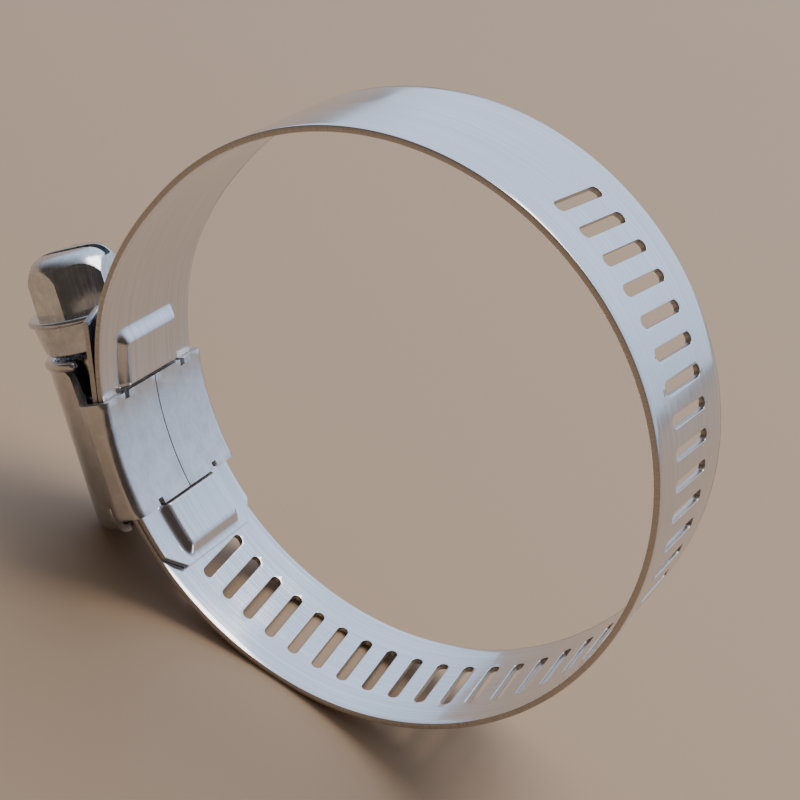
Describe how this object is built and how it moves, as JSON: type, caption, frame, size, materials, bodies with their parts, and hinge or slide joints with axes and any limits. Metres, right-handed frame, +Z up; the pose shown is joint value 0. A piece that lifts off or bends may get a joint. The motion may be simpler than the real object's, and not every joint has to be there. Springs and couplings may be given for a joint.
{
  "type": "hose clamp",
  "caption": "Worm-drive hose clamp: a slotted steel band, a stamped housing and a hex-head screw that draws the band round a hose.",
  "frame": {"origin": "centre of the hose bore, at the middle of the band's width", "axes": "+Y along the bore's axis, +Z up with the clamp resting on its rim and on the nose of its housing; the housing is at -X and the screw's head points up and away from the ring"},
  "size_m": [0.0595, 0.0144, 0.0498],
  "materials": {
    "band": "bright rolled stainless strip",
    "housing": "bright stamped stainless sheet",
    "screw": "bright plated steel"
  },
  "bodies": {
    "clamp_body": {"housing": "housing", "band_anchored_end": "band", "band_plain_run": "band"},
    "sliding_band": {"band_slotted_run": "band", "band_tail": "band"},
    "screw": {"worm_screw": "screw"}
  },
  "joints": [
    {"name": "screw_turn", "type": "hinge", "parent": "clamp_body", "child": "screw", "pos_m": [-0.02317, 0, -0.01691], "axis": [0.5895, 0, -0.8077], "range_deg": [-900.5, 1800.5]},
    {"name": "band_take_up", "type": "hinge", "parent": "clamp_body", "child": "sliding_band", "pos_m": [0, 0, 0], "axis": [0, 1, 0], "range_deg": [-14.18, 28.36], "deforming": ["band_plain_run", "band_tail"]}
  ],
  "couplings": [
    {"joint": "screw_turn", "follows": "band_take_up", "ratio": 63.458}
  ]
}
